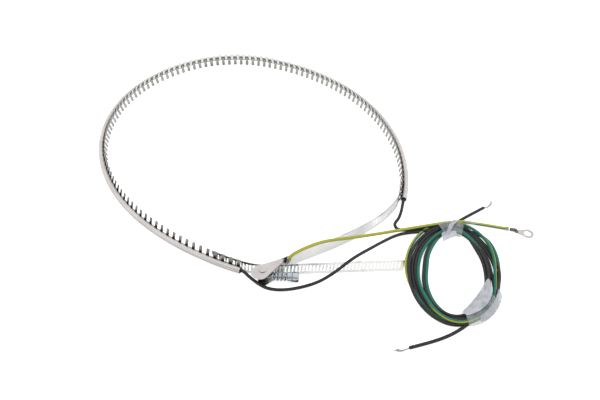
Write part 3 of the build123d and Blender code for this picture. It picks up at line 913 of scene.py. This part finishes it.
def top_film():
    """The film tied round the hank's top, its twisted band and two loose flaps."""
    rows = [wrap_row(turn, 0.6, inner, outer, top) for turn, inner, outer, top in TOP_WRAP]
    wrap = film("film_top_wrap", rows, wrap_film, True, 0.35, 3.1)
    band = film("film_top_band", [
        [(-19, 18.6, 7.0), (-13, 14.0, 9.6), (-7, 8.6, 9.9), (-1.5, 2.4, 8.9), (1.0, -0.6, 6.0)],
        [(-15, 19.0, 6.6), (-9.5, 14.0, 9.9), (-3.5, 8.6, 10.2), (2.0, 2.6, 9.2), (4.0, -0.4, 6.2)],
        [(-10, 19.4, 6.4), (-5.5, 14.0, 9.7), (0.5, 8.8, 10.0), (5.5, 3.2, 9.0), (7.0, 0.4, 6.2)],
    ], flap_film, False, 0.3, 5.7)
    inner_flap = film("film_top_flap", [
        [(-27, 15.8, 7.4), (-27, 18.6, 6.2), (-28, 21.0, 4.8), (-29.5, 23.2, 3.6)],
        [(-18, 16.0, 7.8), (-18, 18.6, 6.6), (-18.5, 21.2, 5.2), (-19, 22.8, 4.2)],
        [(-8, 16.0, 7.8), (-8, 18.4, 6.8), (-8, 20.4, 5.6), (-8, 21.8, 4.6)],
        [(4, 15.6, 7.4), (4, 17.6, 6.6), (4, 19.0, 5.6), (4.5, 20.0, 4.8)],
    ], flap_film, False, 0.4, 9.2)
    outer_flap = film("film_end_flap", [
        [(9, 0.6, 6.6), (9.5, -0.6, 6.0), (10, -1.8, 5.2)],
        [(15, 0.2, 6.4), (17, -2.2, 6.0), (19, -4.6, 5.0)],
        [(20, -0.8, 5.6), (23, -4.4, 5.4), (26, -8.0, 4.4)],
        [(23.5, -2.6, 4.6), (25, -5.4, 4.6), (27, -8.8, 3.8)],
    ], wrap_film, False, 0.25, 1.4)
    return [wrap, band, inner_flap, outer_flap]


def side_film():
    """The film tied round the hank's lower right, with a broad flap across its hole and a ruffled edge."""
    rows = [wrap_row(turn, -1.1 if turn < 140 else 0.6, inner, outer, top)
            for turn, inner, outer, top in SIDE_WRAP]
    wrap = film("film_side_wrap", rows, wrap_film, True, 0.4, 7.3)
    flap = film("film_side_flap", [
        [(100.5, 14.9, 7.0), (101.2, 14.2, 7.6), (102.2, 13.2, 7.6), (103.2, 12.4, 7.0)],
        [(108.5, 17.0, 6.0), (108.8, 15.0, 7.8), (109.6, 12.6, 8.2), (110.4, 10.6, 8.0)],
        [(119, 18.0, 5.2), (119.5, 14.8, 7.9), (120.5, 11.0, 8.8), (121.5, 7.6, 8.8)],
        [(132, 19.2, 4.6), (132.5, 15.2, 7.8), (134, 10.8, 9.1), (135, 6.4, 9.3)],
        [(146, 18.6, 4.6), (146.5, 14.8, 7.6), (147, 10.8, 8.9), (148, 6.2, 9.1)],
        [(158, 16.4, 5.0), (158.5, 13.4, 7.3), (158, 10.4, 8.4), (158, 6.6, 8.6)],
        [(170, 12.6, 5.6), (169.5, 11.0, 7.0), (167.5, 9.2, 7.9), (166, 7.2, 7.9)],
    ], flap_film, False, 0.45, 2.2)
    edge = film("film_side_edge", [
        [(107.5, 5.0, 6.6), (109, 3.6, 5.8), (110.5, 2.2, 4.8), (111.0, 0.8, 3.4)],
        [(118, 4.4, 7.2), (118.5, 2.6, 6.2), (119, 0.8, 4.8), (119, -0.6, 3.0)],
        [(129, 3.6, 7.6), (129, 1.8, 6.4), (129, 0.0, 4.6), (129, -1.0, 2.6)],
        [(140, 3.6, 7.6), (140, 1.8, 6.4), (140, 0.0, 4.6), (140, -1.0, 2.6)],
        [(151, 3.0, 7.0), (151, 2.0, 6.0), (151, 1.0, 4.6), (151.5, 0.2, 3.0)],
    ], flap_film, False, 0.3, 4.4)
    return [wrap, flap, edge]


# The pieces, their bodies and what they stand for
sheath_piece = sheath()
screw_piece = worm_screw()
rivet_piece = rivet()
terminal_piece = ring_terminal()
top_films = top_film()
side_films = side_film()

for piece, body, slot, *replaced in (
    (black_a, "heater", "lead_black", "lead_a", "lead_a_end", "lead_hank"),
    (black_b, "heater", "lead_black", "lead_b", "lead_b_end", "lead_hank"),
    (ground, "heater", "lead_green_yellow", "ground_lead", "ground_end", "lead_hank"),
    (bare_a, "heater", "tinned_copper", "strands_a"),
    (bare_b, "heater", "tinned_copper", "strands_b"),
    (terminal_piece, "heater", "tinned_copper", "ring_terminal", "ground_core"),
    (sheath_piece, "heater", "sheath_steel", "sheath"),
    (screw_piece, "screw", "screw_zinc", "worm_screw"),
    (rivet_piece, "swivel", "screw_zinc"),
    *[(piece, "heater", "clear_film", "film_top") for piece in top_films],
    *[(piece, "heater", "clear_film", "film_side") for piece in side_films],
):
    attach(piece, body)
    if replaced:
        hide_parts(*replaced)

# Carried-over CAD nodes
for name, mat in {
    "heating_cable": cable_mat, "seal_left": seal_mat, "seal_right": seal_mat, "tail_strap": strap_mat,
    "ground_strap": strap_mat, "clamp_bracket": bracket_mat, "saddle": saddle_shade_mat, "ground_crimp": tin_mat,
}.items():
    node = nodes[name]
    if not node.material_slots:
        node.data.materials.append(mat)
    for slot in node.material_slots:
        slot.material = mat

# Floor and world: sizes in metres, strengths, and how much of the white floor the metal mirrors
FLOOR_HALF = 4
FLOOR_BELOW = 0.0002
FLOOR_GLOW = 0.72
FLOOR_MIRRORED = 0.25
SOFT_LIGHT = 0.45
DARK_SIDE = (0, -0.98, 0.2)
DARK_SIDE_LEVEL = 0.32


def white_rays(tree, glossy):
    """1 for rays that see plain white: camera and transmission rays, and a share of reflections."""
    path = add(tree, "ShaderNodeLightPath")
    seen = maths(tree, "MAXIMUM", path.outputs["Is Camera Ray"], path.outputs["Is Transmission Ray"])
    return maths(tree, "MAXIMUM", seen, maths(tree, "MULTIPLY", path.outputs["Is Glossy Ray"], glossy))


def floor_stage():
    """Floor that is white to the camera, and a lit pale sheet with its shadows to the metal."""
    mesh = bpy.data.meshes.new("floor")
    corners = [(x * FLOOR_HALF, y * FLOOR_HALF, 0) for x, y in ((-1, -1), (1, -1), (1, 1), (-1, 1))]
    mesh.from_pydata(corners, [], [(0, 1, 2, 3)])
    floor = bpy.data.objects.new("floor", mesh)
    floor.location.z = -FLOOR_BELOW
    scene.collection.objects.link(floor)
    mat, shader, tree = material("floor", {"Base Color": (0.95, 0.95, 0.95, 1), "Roughness": 0.9})
    glow = add(tree, "ShaderNodeEmission")
    glow.inputs["Strength"].default_value = FLOOR_GLOW
    lit = add(tree, "ShaderNodeAddShader")
    mix = add(tree, "ShaderNodeMixShader")
    tree.links.new(shader.outputs[0], lit.inputs[0])
    tree.links.new(glow.outputs[0], lit.inputs[1])
    tree.links.new(white_rays(tree, FLOOR_MIRRORED), mix.inputs["Fac"])
    tree.links.new(shader.outputs[0], mix.inputs[1])
    tree.links.new(lit.outputs[0], mix.inputs[2])
    tree.links.new(mix.outputs[0], tree.nodes["Material Output"].inputs["Surface"])
    mesh.materials.append(mat)


def studio():
    """Soft even light that is white to the camera; reflections see white that is greyer beyond the camera."""
    world = bpy.data.worlds.new("studio")
    world.use_nodes = True
    tree = world.node_tree
    soft = tree.nodes["Background"]
    soft.inputs["Color"].default_value = (1, 1, 1, 1)
    soft.inputs["Strength"].default_value = SOFT_LIGHT
    white = add(tree, "ShaderNodeBackground")
    white.inputs["Strength"].default_value = 1.0
    room = add(tree, "ShaderNodeTexCoord")
    facing = add(tree, "ShaderNodeVectorMath", operation="DOT_PRODUCT")
    facing.inputs[1].default_value = DARK_SIDE
    tree.links.new(room.outputs["Generated"], facing.inputs[0])
    shade = span(tree, facing.outputs["Value"], 1.0, DARK_SIDE_LEVEL, 0.5, 0.98)
    seen = white_rays(tree, 0)
    tree.links.new(maths(tree, "MAXIMUM", shade, seen), white.inputs["Color"])
    path = add(tree, "ShaderNodeLightPath")
    mix = add(tree, "ShaderNodeMixShader")
    tree.links.new(maths(tree, "MAXIMUM", seen, path.outputs["Is Glossy Ray"]), mix.inputs["Fac"])
    tree.links.new(soft.outputs[0], mix.inputs[1])
    tree.links.new(white.outputs[0], mix.inputs[2])
    tree.links.new(mix.outputs[0], tree.nodes["World Output"].inputs["Surface"])
    scene.world = world


# Lamps, in metres and watts
LAMP_AIM = Vector((0.05, 0, 0))
LAMP_SIZE = 1.3


def lamp(name, place, power):
    """Large soft lamp that reflections don't show."""
    data = bpy.data.lights.new(name, "AREA")
    data.shape = "DISK"
    data.size = LAMP_SIZE
    data.energy = power
    made = bpy.data.objects.new(name, data)
    made.location = place
    made.rotation_euler = (LAMP_AIM - Vector(place)).to_track_quat("-Z", "Y").to_euler()
    made.visible_glossy = False
    scene.collection.objects.link(made)


floor_stage()
studio()
lamp("key", (-0.5, -0.35, 1.2), 7)
lamp("fill", (0.9, -0.4, 1.0), 4.5)
scene.view_settings.view_transform = "Standard"
